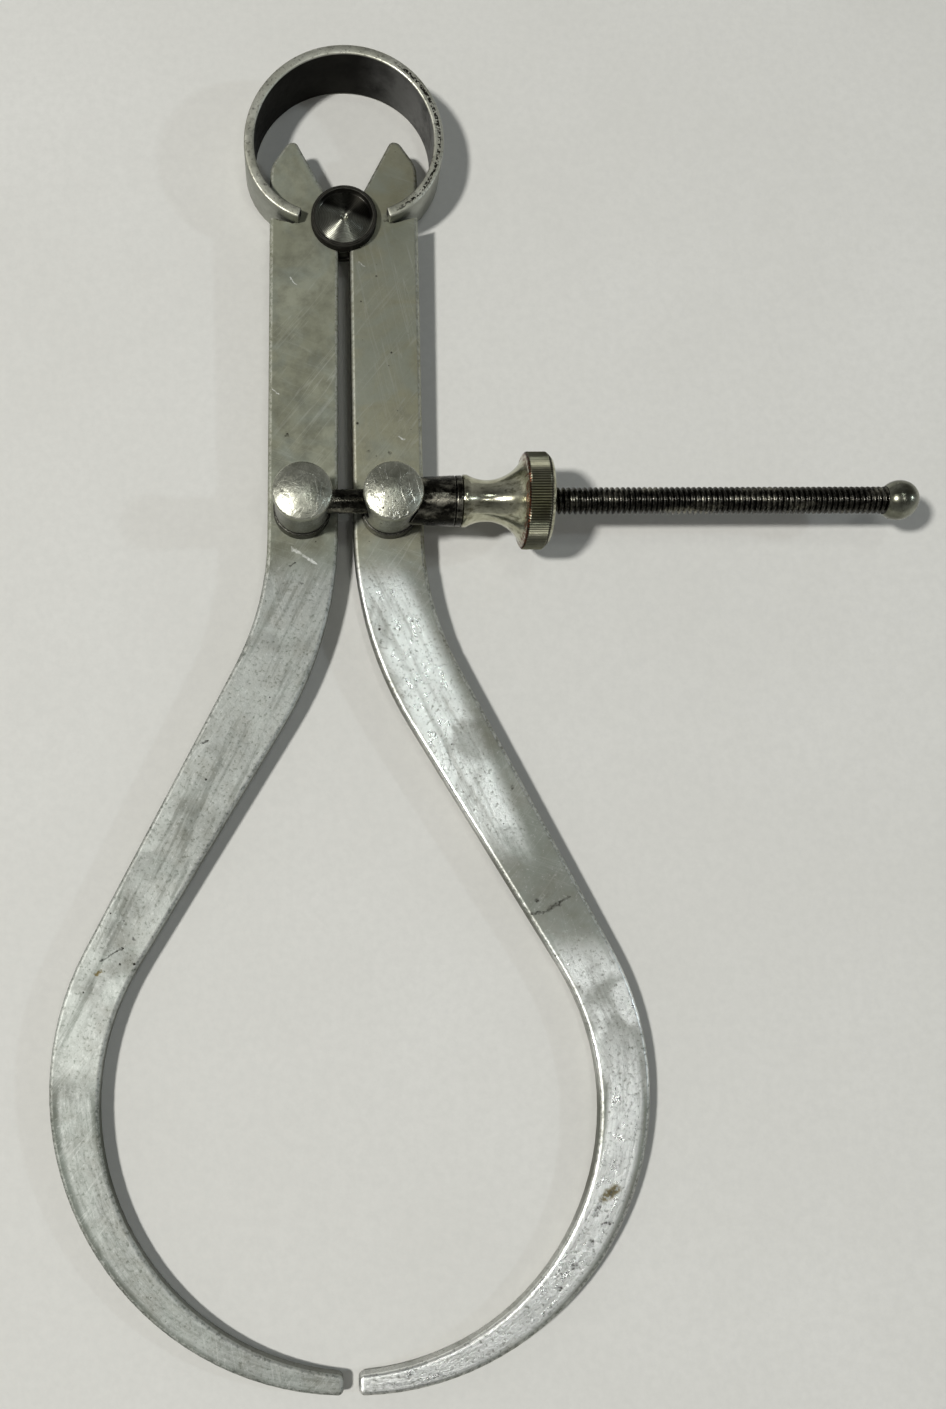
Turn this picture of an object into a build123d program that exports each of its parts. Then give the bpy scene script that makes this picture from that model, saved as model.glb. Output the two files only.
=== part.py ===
from build123d import *
import math
import os

os.makedirs("parts", exist_ok=True)

# Outside spring caliper with a bow spring, a spool fulcrum and a screw adjustment.
# It lies face up: the legs are flat in the XY plane and point along -Y, the spring is at +Y,
# the screw runs out along +X. The origin is the fulcrum axis, on the back of the fulcrum stud.
# All sizes are millimetres.

# Legs, in the position where the two tips meet. The reach is to the farthest edge of the tips;
# their middle is at the nominal size, 6 in or 152.4.
tip_reach = 153.4
leg_thickness = 2.4
shank_width = 9.4
shank_gap = 1.5
shoulder_drop = 53.9
shoulder_radius = 39.0
crotch_drop = 58.0
crotch_radius = 52.0
outer_bow_share = 0.2425
bow_thinning = 4.3
inner_bow_shift = 2.1
inner_bow_drop = 1.9
tip_corner_radius = 0.75
leg_edge_radius = 0.55

# Horns above the fulcrum, whose slanted inner faces stop the legs when they open
horn_height = 11.7
horn_side_height = 8.0
horn_top_width = 1.15
horn_face_angle = 27.5
horn_face_offset = 0.4
horn_inner_round_share = 0.37
horn_outer_round_share = 0.58
horn_side_radius = 4.0

# How far the tips stand apart in the pose that is modelled
tip_opening = 1.9

# Fulcrum stud, a turned spool that the legs roll on
roller_radius = 3.2
fulcrum_head_radius = 4.5
fulcrum_head_thickness = 1.3
fulcrum_flange_radius = 4.2
fulcrum_flange_thickness = 0.9
fulcrum_edge_chamfer = 0.25
fulcrum_rim_width = 0.55
fulcrum_dish_depth = 0.7
fulcrum_cone_rise = 0.3
fulcrum_dimple_radius = 0.55

# Bow spring, a flat strip bent to an open ring, narrower towards its ends
strip_width = 8.4
strip_end_width = 5.8
strip_thickness = 1.42
strip_edge_radius = 0.2
ring_outer_radius = 13.65
ring_rise = 10.35
ring_main_half_angle = 100.0
ring_end_outer_radius = 10.9
ring_end_angle = 161.0
fork_depth = 0.5

# Notches in the outer edges of the legs, for the ends of the spring
notch_low = 0.55
notch_high = 4.55
notch_root_radius = 0.25

# Swivelling posts
post_drop = 41.3
post_across = 5.55
post_shank_radius = 1.6
post_base_radius = 3.8
post_base_height = 1.5
post_neck_radius = 3.6
post_head_radius = 3.85
post_head_rim = 0.9
post_dome_height = 0.85
post_head_edge = 0.15
peen_radius = 2.3
peen_height = 0.6
washer_radius = 3.2
washer_thickness = 0.5

# Adjusting screw
screw_height = 3.9
thread_radius = 1.7525
plain_radius = 1.55
plain_end_past_post = 2.6
plain_start_past_post = 2.2
thread_end = 69.8
screw_chamfer = 0.3

# Ball on the end of the screw
ball_radius = 2.54
ball_seat_depth = 2.9

# Collar and washer between the right post and the nut
collar_start = 2.4
collar_length = 8.1
collar_post_radius = 3.0
collar_nut_radius = 3.25
collar_chamfer = 0.12
thrust_washer_thickness = 0.85

# Adjusting nut
nut_length = 11.3
nut_end_radius = 3.35
nut_end_width = 0.6
nut_waist_radius = 2.65
nut_waist_place = 3.1
nut_shoulder_radius = 4.9
nut_flange_width = 3.5
nut_flange_radius = 6.2
nut_flange_root = 0.3
nut_flange_root_radius = 5.4
nut_inner_chamfer = 0.35
nut_outer_chamfer = 0.75
nut_end_chamfer = 0.15

# Clearances and the overrun of cuts
turning_clearance = 0.05
face_clearance = 0.05
seat_clearance = 0.05
fixed_clearance = 0.02
fork_clearance = 0.12
notch_clearance = 0.2
slide_clearance = 0.3
overrun = 2.0

# Heights of the leg faces and of the screw
leg_back = fulcrum_flange_thickness + face_clearance
leg_front = leg_back + leg_thickness
leg_middle = leg_back + leg_thickness / 2
screw_z = leg_front + face_clearance + screw_height

# The legs' lean from the middle line, at rest
lean = math.degrees(math.asin(tip_opening / 2 / tip_reach))

# Radii of the bowed part: the outer one follows the reach, as on larger and smaller calipers
outer_bow_radius = tip_reach * outer_bow_share
inner_bow_radius = outer_bow_radius - bow_thinning

# Places along a leg, in its own flat frame
inner_edge = shank_gap / 2
outer_edge = inner_edge + shank_width
outer_centre = (0, outer_bow_radius - tip_reach)
inner_centre = (-inner_bow_shift, outer_centre[1] - inner_bow_drop)


def on_circle(centre, radius, angle):
    """Point on a circle, the angle in degrees from +X."""
    turn = math.radians(angle)
    return (centre[0] + radius * math.cos(turn), centre[1] + radius * math.sin(turn))


def touching_angle(corner, centre, radius):
    """Angle at which a line from the corner touches the right side of a circle."""
    across = corner[0] - centre[0]
    up = corner[1] - centre[1]
    towards = math.atan2(up, across)
    return math.degrees(towards - math.acos(radius / math.hypot(across, up)))


def leaned(point):
    """A place on the right leg, moved from the closed to the modelled pose."""
    turn = math.radians(lean)
    return (
        point[0] * math.cos(turn) - point[1] * math.sin(turn),
        point[0] * math.sin(turn) + point[1] * math.cos(turn),
    )


post_x, post_y = leaned((post_across, -post_drop))

# Spring ring, seen from the front: a main arc and a tighter arc at each end
ring_centre = (0, ring_rise)
ring_step = ring_outer_radius - ring_end_outer_radius
ring_end_centre = on_circle(ring_centre, ring_step, 90 - ring_main_half_angle)
web_end_angle = ring_end_angle - math.degrees(
    fork_depth / (ring_end_outer_radius - strip_thickness / 2)
)
ring_top = ring_rise + ring_outer_radius


def strip_end_point(depth, angle):
    """Point on the right end arc, a depth in from its outer face, the angle counted from +Y."""
    return on_circle(ring_end_centre, ring_end_outer_radius - depth, 90 - angle)


# Half the strip's width at the two heights where the tapering cut begins and ends
ring_low = strip_end_point(0, ring_end_angle)[1]
taper_slope = (strip_width - strip_end_width) / (2 * (ring_top - ring_low))
cut_low = (ring_low - overrun, strip_end_width / 2 - taper_slope * overrun)
cut_high = (ring_top + overrun, strip_width / 2 + taper_slope * overrun)

# Right leg
shoulder = (outer_edge, -shoulder_drop)
crotch = (inner_edge, -crotch_drop)
outer_touch = touching_angle(shoulder, outer_centre, outer_bow_radius)
inner_touch = touching_angle(crotch, inner_centre, inner_bow_radius)
inner_tip_angle = -math.degrees(math.acos(inner_bow_shift / inner_bow_radius))
face_turn = math.radians(horn_face_angle)


def horn_face_x(height):
    """Distance from the middle line to the slanted face of a horn."""
    return (horn_face_offset + height * math.sin(face_turn)) / math.cos(face_turn)


face_foot = (
    inner_edge,
    (inner_edge * math.cos(face_turn) - horn_face_offset) / math.sin(face_turn),
)
horn_tip = horn_face_x(horn_height)
horn_corner = horn_tip + horn_top_width

# The two corners of a horn's top are rounded over shares of its width, so that they never meet
side_turn = math.atan2(horn_height - horn_side_height, outer_edge - horn_corner)
face_round = horn_inner_round_share * horn_top_width
side_round = horn_outer_round_share * horn_top_width
horn_inner_radius = face_round / math.tan((math.pi / 2 - face_turn) / 2)
horn_outer_radius = side_round / math.tan(side_turn / 2)
leg_plane = Plane(
    origin=(0, 0, leg_back),
    x_dir=(math.cos(math.radians(lean)), math.sin(math.radians(lean)), 0),
    z_dir=(0, 0, 1),
)

with BuildPart() as right_leg:
    with BuildSketch(leg_plane):
        with BuildLine():
            FilletPolyline(
                on_circle(inner_centre, inner_bow_radius, inner_touch),
                crotch,
                face_foot,
                radius=crotch_radius,
            )
            FilletPolyline(
                face_foot,
                (horn_tip, horn_height),
                (horn_corner, horn_height),
                (outer_edge, horn_side_height),
                shoulder,
                on_circle(outer_centre, outer_bow_radius, outer_touch),
                radius=[horn_inner_radius, horn_outer_radius, horn_side_radius, shoulder_radius],
            )
            outer_arc = CenterArc(outer_centre, outer_bow_radius, -90, outer_touch + 90)
            inner_arc = CenterArc(
                inner_centre, inner_bow_radius, inner_tip_angle, inner_touch - inner_tip_angle
            )
            Line(outer_arc @ 0, inner_arc @ 0)
        make_face()
        fillet(vertices().group_by(Axis.Y)[0] + vertices().group_by(Axis.Y)[1], tip_corner_radius)
    extrude(amount=leg_thickness)
    flat_faces = faces().filter_by(Axis.Z)
    fillet(flat_faces.edges(), leg_edge_radius)
    with BuildSketch(Plane.XY.offset(leg_back)):
        Circle(roller_radius + turning_clearance)
        with Locations((post_x, post_y)):
            Circle(post_shank_radius + turning_clearance)
        with BuildLine():
            web_inner = strip_end_point(strip_thickness + notch_clearance, web_end_angle)
            web_outer = strip_end_point(-notch_clearance, web_end_angle)
            FilletPolyline(
                (outer_edge, notch_high),
                (web_inner[0] - seat_clearance, web_inner[1]),
                (web_outer[0] - seat_clearance, web_outer[1]),
                (outer_edge, notch_low),
                radius=notch_root_radius,
            )
            Polyline(
                (outer_edge, notch_low),
                (outer_edge + overrun, notch_low),
                (outer_edge + overrun, notch_high),
                (outer_edge, notch_high),
            )
        make_face()
    extrude(amount=leg_thickness, mode=Mode.SUBTRACT)
right_leg.part.label = "right_leg"
export_step(right_leg.part, "parts/right_leg.step")

# Left leg, the mirror image
with BuildPart() as left_leg:
    mirror(right_leg.part, about=Plane.YZ)
left_leg.part.label = "left_leg"
export_step(left_leg.part, "parts/left_leg.step")

# Bow spring, forked at both ends over the legs
with BuildPart() as bow_spring:
    with BuildSketch(Plane.XY.offset(leg_middle - strip_width / 2)):
        with BuildLine():
            for depth in (0, strip_thickness):
                CenterArc(
                    ring_centre,
                    ring_outer_radius - depth,
                    90 - ring_main_half_angle,
                    2 * ring_main_half_angle,
                )
                end_arc = CenterArc(
                    ring_end_centre,
                    ring_end_outer_radius - depth,
                    90 - ring_end_angle,
                    ring_end_angle - ring_main_half_angle,
                )
                mirror(end_arc, about=Plane.YZ)
            end_line = Line(
                strip_end_point(0, ring_end_angle),
                strip_end_point(strip_thickness, ring_end_angle),
            )
            mirror(end_line, about=Plane.YZ)
        make_face()
    extrude(amount=strip_width)
    with BuildSketch(Plane.YZ):
        Polygon(
            (cut_low[0], leg_middle - cut_low[1]),
            (cut_high[0], leg_middle - cut_high[1]),
            (cut_high[0], leg_middle + cut_high[1]),
            (cut_low[0], leg_middle + cut_low[1]),
            align=None,
        )
    extrude(amount=ring_outer_radius + overrun, both=True, mode=Mode.INTERSECT)
    rims = faces().sort_by(Axis.Z)
    fillet(rims[0].edges() + rims[-1].edges(), strip_edge_radius)
    fork_opening = leg_thickness + 2 * fork_clearance
    with BuildSketch(Plane.XY.offset(leg_middle - fork_opening / 2)):
        with BuildLine():
            fork_top = strip_end_point(strip_thickness + overrun, web_end_angle)
            fork_bottom = strip_end_point(-overrun, web_end_angle)
            Polyline(
                fork_top,
                fork_bottom,
                (0, fork_bottom[1]),
                (0, fork_top[1]),
                close=True,
            )
        make_face()
        mirror(about=Plane.YZ)
    extrude(amount=fork_opening, mode=Mode.SUBTRACT)
bow_spring.part.label = "bow_spring"
export_step(bow_spring.part, "parts/bow_spring.step")

# Fulcrum stud: back flange, roller and a head with a dished, turned face
head_back = leg_front + face_clearance
head_front = head_back + fulcrum_head_thickness
dish_radius = fulcrum_head_radius - fulcrum_rim_width
dish_floor = head_front - fulcrum_dish_depth
cone_top = dish_floor + fulcrum_cone_rise

with BuildPart() as fulcrum_stud:
    with BuildSketch(Plane.XZ):
        with BuildLine():
            Polyline(
                (0, 0),
                (fulcrum_flange_radius - fulcrum_edge_chamfer, 0),
                (fulcrum_flange_radius, fulcrum_edge_chamfer),
                (fulcrum_flange_radius, fulcrum_flange_thickness),
                (roller_radius, fulcrum_flange_thickness),
                (roller_radius, head_back),
                (fulcrum_head_radius, head_back),
                (fulcrum_head_radius, head_front - fulcrum_edge_chamfer),
                (fulcrum_head_radius - fulcrum_edge_chamfer, head_front),
                (dish_radius, head_front),
                (dish_radius - fulcrum_edge_chamfer, dish_floor),
                (fulcrum_dimple_radius, cone_top),
                (0, cone_top - fulcrum_dimple_radius),
                close=True,
            )
        make_face()
    revolve(axis=Axis.Z)
fulcrum_stud.part.label = "fulcrum_stud"
export_step(fulcrum_stud.part, "parts/fulcrum_stud.step")

# Posts: peened shank through the leg, base, bored neck and domed head
post_foot = leg_front + face_clearance
base_top = post_foot + post_base_height
head_under = screw_z + collar_post_radius + slide_clearance / 2
head_rim_top = head_under + post_head_rim
head_top = head_rim_top + post_dome_height
washer_front = leg_back - face_clearance
washer_back = washer_front - washer_thickness
peen_front = washer_back - fixed_clearance
peen_back = peen_front - peen_height
dome_radius = post_head_radius - post_head_edge
screw_plane = Plane(origin=(0, post_y, screw_z), x_dir=(0, 1, 0), z_dir=(1, 0, 0))
blind_start = -post_x - plain_end_past_post - fixed_clearance
through_start = post_x - post_base_radius - overrun
posts = [
    ("left_post", -post_x, blind_start, plain_radius + fixed_clearance),
    ("right_post", post_x, through_start, thread_radius + slide_clearance),
]

for post_name, axis_x, hole_start, hole_radius in posts:
    with BuildPart() as post:
        with BuildSketch(Plane(origin=(axis_x, post_y, 0), x_dir=(1, 0, 0), z_dir=(0, -1, 0))):
            with BuildLine():
                RadiusArc(
                    (0, peen_back),
                    (peen_radius, peen_front),
                    -(peen_radius**2 + peen_height**2) / (2 * peen_height),
                )
                Polyline(
                    (peen_radius, peen_front),
                    (post_shank_radius, peen_front),
                    (post_shank_radius, post_foot),
                    (post_base_radius, post_foot),
                    (post_base_radius, base_top),
                    (post_neck_radius, base_top),
                    (post_neck_radius, head_under),
                    (post_head_radius - post_head_edge, head_under),
                    (post_head_radius, head_under + post_head_edge),
                    (post_head_radius, head_rim_top - post_head_edge),
                    (dome_radius, head_rim_top),
                )
                RadiusArc(
                    (dome_radius, head_rim_top),
                    (0, head_top),
                    -(dome_radius**2 + post_dome_height**2) / (2 * post_dome_height),
                )
                Line((0, head_top), (0, peen_back))
            make_face()
        revolve(axis=Axis((axis_x, post_y, 0), (0, 0, 1)))
        with BuildSketch(screw_plane.offset(hole_start)):
            Circle(hole_radius)
        extrude(amount=axis_x + post_base_radius + overrun - hole_start, mode=Mode.SUBTRACT)
    post.part.label = post_name
    export_step(post.part, f"parts/{post_name}.step")

with BuildPart() as left_post_washer:
    with BuildSketch(Plane.XY.offset(washer_back)):
        with Locations((-post_x, post_y)):
            Circle(washer_radius)
            Circle(post_shank_radius + fixed_clearance, mode=Mode.SUBTRACT)
    extrude(amount=washer_thickness)
left_post_washer.part.label = "left_post_washer"
export_step(left_post_washer.part, "parts/left_post_washer.step")

with BuildPart() as right_post_washer:
    mirror(left_post_washer.part, about=Plane.YZ)
right_post_washer.part.label = "right_post_washer"
export_step(right_post_washer.part, "parts/right_post_washer.step")

# Adjusting screw: plain where it sits in the left post, threaded outside
screw_start = -post_x - plain_end_past_post
thread_start = post_x + plain_start_past_post
screw_end = thread_end + ball_seat_depth
screw_axis = Axis((0, post_y, screw_z), (1, 0, 0))
screw_section = Plane(origin=(0, post_y, screw_z), x_dir=(1, 0, 0), z_dir=(0, -1, 0))

with BuildPart() as adjusting_screw:
    with BuildSketch(screw_section):
        with BuildLine():
            Polyline(
                (screw_start, 0),
                (screw_start, plain_radius - screw_chamfer),
                (screw_start + screw_chamfer, plain_radius),
                (thread_start, plain_radius),
                (thread_start + screw_chamfer, thread_radius),
                (screw_end - screw_chamfer, thread_radius),
                (screw_end, thread_radius - screw_chamfer),
                (screw_end, 0),
                close=True,
            )
        make_face()
    revolve(axis=screw_axis)
adjusting_screw.part.label = "adjusting_screw"
export_step(adjusting_screw.part, "parts/adjusting_screw.step")

# Stop ball, bored to take the end of the screw
ball_hole_radius = thread_radius + fixed_clearance
ball_centre = thread_end + math.sqrt(ball_radius**2 - ball_hole_radius**2)
ball_hole_depth = ball_seat_depth + fixed_clearance

with BuildPart() as stop_ball:
    with BuildSketch(screw_section):
        with BuildLine():
            Polyline(
                (ball_centre + ball_radius, 0),
                (thread_end + ball_hole_depth, 0),
                (thread_end + ball_hole_depth, ball_hole_radius),
                (thread_end, ball_hole_radius),
            )
            ThreePointArc(
                (thread_end, ball_hole_radius),
                (ball_centre, ball_radius),
                (ball_centre + ball_radius, 0),
            )
        make_face()
    revolve(axis=screw_axis)
stop_ball.part.label = "stop_ball"
export_step(stop_ball.part, "parts/stop_ball.step")

# Thrust collar, whose end is hollowed to bed on the right post
collar_bore = thread_radius + slide_clearance
collar_begin = post_x + collar_start
collar_end = post_x + collar_length

with BuildPart() as thrust_collar:
    with BuildSketch(screw_section):
        with BuildLine():
            Polyline(
                (collar_begin, collar_bore),
                (collar_begin, collar_post_radius),
                (collar_end - collar_chamfer, collar_nut_radius),
                (collar_end, collar_nut_radius - collar_chamfer),
                (collar_end, collar_bore),
                close=True,
            )
        make_face()
    revolve(axis=screw_axis)
    with BuildSketch(Plane.XY.offset(screw_z - collar_post_radius - overrun)):
        with Locations((post_x, post_y)):
            Circle(post_base_radius + seat_clearance)
    extrude(amount=2 * (collar_post_radius + overrun), mode=Mode.SUBTRACT)
thrust_collar.part.label = "thrust_collar"
export_step(thrust_collar.part, "parts/thrust_collar.step")

# Thin washer between the collar and the nut
thrust_washer_start = collar_end + face_clearance
thrust_washer_end = thrust_washer_start + thrust_washer_thickness

with BuildPart() as thrust_washer:
    with BuildSketch(screw_section):
        with BuildLine():
            Polyline(
                (thrust_washer_start, collar_bore),
                (thrust_washer_start, collar_nut_radius - collar_chamfer),
                (thrust_washer_start + collar_chamfer, collar_nut_radius),
                (thrust_washer_end - collar_chamfer, collar_nut_radius),
                (thrust_washer_end, collar_nut_radius - collar_chamfer),
                (thrust_washer_end, collar_bore),
                close=True,
            )
        make_face()
    revolve(axis=screw_axis)
thrust_washer.part.label = "thrust_washer"
export_step(thrust_washer.part, "parts/thrust_washer.step")

# Adjusting nut: plain end, concave neck, shoulder and flange
nut_bore = thread_radius + turning_clearance
nut_start = thrust_washer_end + face_clearance
nut_end = nut_start + nut_length
flange_start = nut_end - nut_flange_width

with BuildPart() as adjusting_nut:
    with BuildSketch(screw_section):
        with BuildLine():
            Polyline(
                (nut_start, nut_bore),
                (nut_start, nut_end_radius - nut_end_chamfer),
                (nut_start + nut_end_chamfer, nut_end_radius),
                (nut_start + nut_end_width, nut_end_radius),
            )
            ThreePointArc(
                (nut_start + nut_end_width, nut_end_radius),
                (nut_start + nut_waist_place, nut_waist_radius),
                (flange_start - nut_flange_root, nut_shoulder_radius),
            )
            Polyline(
                (flange_start - nut_flange_root, nut_shoulder_radius),
                (flange_start, nut_flange_root_radius),
                (flange_start, nut_flange_radius - nut_inner_chamfer),
                (flange_start + nut_inner_chamfer, nut_flange_radius),
                (nut_end - nut_outer_chamfer, nut_flange_radius),
                (nut_end, nut_flange_radius - nut_outer_chamfer),
                (nut_end, nut_bore),
                (nut_start, nut_bore),
            )
        make_face()
    revolve(axis=screw_axis)
adjusting_nut.part.label = "adjusting_nut"
export_step(adjusting_nut.part, "parts/adjusting_nut.step")
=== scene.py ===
import math
import bmesh
import bpy
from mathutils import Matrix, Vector
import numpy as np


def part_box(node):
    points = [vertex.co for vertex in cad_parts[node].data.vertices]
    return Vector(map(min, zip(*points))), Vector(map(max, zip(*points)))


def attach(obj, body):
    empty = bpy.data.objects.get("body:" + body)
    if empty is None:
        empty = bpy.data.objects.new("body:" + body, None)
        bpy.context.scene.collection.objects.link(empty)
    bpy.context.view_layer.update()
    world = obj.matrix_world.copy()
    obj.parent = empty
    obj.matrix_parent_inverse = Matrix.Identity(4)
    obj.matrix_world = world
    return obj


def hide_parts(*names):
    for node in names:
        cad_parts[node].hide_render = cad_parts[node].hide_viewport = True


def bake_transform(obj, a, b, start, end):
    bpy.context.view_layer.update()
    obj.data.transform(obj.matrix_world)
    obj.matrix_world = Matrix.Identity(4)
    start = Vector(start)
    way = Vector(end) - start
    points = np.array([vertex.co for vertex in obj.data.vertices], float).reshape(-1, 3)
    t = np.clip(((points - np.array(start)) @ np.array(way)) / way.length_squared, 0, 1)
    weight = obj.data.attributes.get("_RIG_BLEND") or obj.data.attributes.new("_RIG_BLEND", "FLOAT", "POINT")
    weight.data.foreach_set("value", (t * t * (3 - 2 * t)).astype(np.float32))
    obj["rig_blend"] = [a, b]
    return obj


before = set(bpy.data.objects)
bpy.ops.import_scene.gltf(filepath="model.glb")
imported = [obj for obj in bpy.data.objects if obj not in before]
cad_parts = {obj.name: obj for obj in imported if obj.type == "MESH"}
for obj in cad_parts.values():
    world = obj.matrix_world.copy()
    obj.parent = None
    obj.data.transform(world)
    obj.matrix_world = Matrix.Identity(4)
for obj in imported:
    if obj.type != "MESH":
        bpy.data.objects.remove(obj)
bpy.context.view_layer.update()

mm = 0.001

# How near a place is to a plane or a rim to lie on it, and how near two points are to be one
hair = 0.001 * mm
doubles = 0.0001 * mm

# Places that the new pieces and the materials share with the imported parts
leg_low, leg_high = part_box("left_leg")
nut_low, nut_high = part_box("adjusting_nut")
screw_low, screw_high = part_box("adjusting_screw")
ball_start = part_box("stop_ball")[0].x
left_post_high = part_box("left_post")[1]
right_post_low, right_post_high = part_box("right_post")
leg_back = leg_low.z
leg_front = leg_high.z
leg_middle = (leg_back + leg_front) / 2
screw_y = (screw_low.y + screw_high.y) / 2
screw_z = (screw_low.z + screw_high.z) / 2
post_x = (right_post_low.x + right_post_high.x) / 2
post_top = left_post_high.z


# ---- Modelling helpers: each does what a hand would do with the matching tool ----

def deselect():
    """Leaves nothing selected, so that the next tool acts on new work alone."""
    if bpy.context.mode != "OBJECT":
        bpy.ops.object.mode_set(mode="OBJECT")
    bpy.ops.object.select_all(action="DESELECT")


def select_only(piece):
    deselect()
    piece.select_set(True)
    bpy.context.view_layer.objects.active = piece


def name_piece(name):
    """Names the piece just added and bakes its place into its mesh."""
    piece = bpy.context.object
    piece.name = name
    piece.data.name = name
    bpy.ops.object.transform_apply(location=True, rotation=True, scale=True)
    return piece


def edit(piece):
    select_only(piece)
    bpy.ops.object.mode_set(mode="EDIT")


def pick_points(piece, wanted):
    """Selects the points of the piece in edit mode whose place is wanted."""
    bpy.ops.mesh.select_mode(type="VERT")
    bpy.ops.mesh.select_all(action="DESELECT")
    mesh = bmesh.from_edit_mesh(piece.data)
    for point in mesh.verts:
        if wanted(point.co):
            point.select_set(True)
    mesh.select_flush_mode()
    bmesh.update_edit_mesh(piece.data)


def pick_faces(piece, wanted):
    """Selects the faces of the piece in edit mode whose points all lie at wanted places."""
    bpy.ops.mesh.select_mode(type="FACE")
    bpy.ops.mesh.select_all(action="DESELECT")
    mesh = bmesh.from_edit_mesh(piece.data)
    for face in mesh.faces:
        if all(wanted(point.co) for point in face.verts):
            face.select_set(True)
    mesh.select_flush_mode()
    bmesh.update_edit_mesh(piece.data)


def close_up(merge=0.0):
    """Merges points nearer than merge, turns all faces outwards and goes back to object mode."""
    bpy.ops.mesh.select_mode(type="VERT")
    bpy.ops.mesh.select_all(action="SELECT")
    if merge:
        bpy.ops.mesh.remove_doubles(threshold=merge)
    bpy.ops.mesh.normals_make_consistent(inside=False)
    bpy.ops.object.mode_set(mode="OBJECT")


def smooth(piece, angle):
    select_only(piece)
    bpy.ops.object.shade_smooth_by_angle(angle=math.radians(angle))
    deselect()


def apply_modifiers(piece):
    select_only(piece)
    for modifier in list(piece.modifiers):
        bpy.ops.object.modifier_apply(modifier=modifier.name)


def turned(name, stations, sides):
    """A piece turned about the screw's axis: a circle drawn out from station to station.
    A station is (x, radius). Both ends are closed by a face, unless the last meets the first."""
    first_x, first_radius = stations[0]
    deselect()
    bpy.ops.mesh.primitive_circle_add(
        vertices=sides,
        radius=first_radius,
        fill_type="NOTHING",
        location=(first_x, screw_y, screw_z),
        rotation=(0, math.pi / 2, 0),
    )
    piece = name_piece(name)
    closed = stations[0] == stations[-1]
    edit(piece)
    bpy.ops.mesh.select_all(action="SELECT")
    if not closed:
        bpy.ops.mesh.edge_face_add()
        bpy.ops.mesh.select_all(action="SELECT")
    draw_out = bpy.ops.mesh.extrude_edges_move if closed else bpy.ops.mesh.extrude_region_move
    x, radius = first_x, first_radius
    for next_x, next_radius in stations[1:]:
        draw_out(TRANSFORM_OT_translate={"value": (next_x - x, 0, 0)})
        share = next_radius / radius
        bpy.ops.transform.resize(
            value=(1, share, share), center_override=(next_x, screw_y, screw_z)
        )
        x, radius = next_x, next_radius
    close_up(doubles)
    return piece


def arc_stations(start, middle, end, count):
    """Stations along the arc through three (x, radius) points, both ends included."""
    ax, ay = start
    bx, by = middle
    cx, cy = end
    a, b, c = ax**2 + ay**2, bx**2 + by**2, cx**2 + cy**2
    twice_area = 2 * (ax * (by - cy) + bx * (cy - ay) + cx * (ay - by))
    centre_x = (a * (by - cy) + b * (cy - ay) + c * (ay - by)) / twice_area
    centre_y = (a * (cx - bx) + b * (ax - cx) + c * (bx - ax)) / twice_area
    reach = math.hypot(ax - centre_x, ay - centre_y)
    first = math.atan2(ay - centre_y, ax - centre_x)
    last = math.atan2(cy - centre_y, cx - centre_x)
    angles = [first + (last - first) * i / count for i in range(count + 1)]
    return [(centre_x + reach * math.cos(angle), centre_y + reach * math.sin(angle)) for angle in angles]


# ---- Bow spring: a flat strip drawn round the ring, forked at both ends ----

strip_width = 8.4 * mm
strip_end_width = 5.8 * mm
strip_thickness = 1.42 * mm
ring_y = 10.35 * mm
ring_radius = 13.65 * mm - strip_thickness / 2
ring_end_radius = 10.9 * mm - strip_thickness / 2
ring_main_turn = math.radians(100)
ring_end_turn = math.radians(61)
strip_corner = 0.28 * mm
strip_worn_edge = 0.14 * mm
fork_turn = 0.5 * mm / ring_end_radius
fork_opening = leg_front - leg_back + 0.24 * mm
fork_reach = 4 * mm
end_centre = Vector((
    (ring_radius - ring_end_radius) * math.sin(ring_main_turn),
    ring_y + (ring_radius - ring_end_radius) * math.cos(ring_main_turn),
    leg_middle,
))


def along_strip(place):
    """How far a place lies from the strip's middle, measured round the ring, in metres."""
    x, y = abs(place.x), place.y
    turn = math.atan2(x, y - ring_y)
    if turn <= ring_main_turn:
        return turn * ring_radius
    end_turn = math.atan2(x - end_centre.x, y - end_centre.y)
    return ring_main_turn * ring_radius + (end_turn - ring_main_turn) * ring_end_radius


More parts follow.
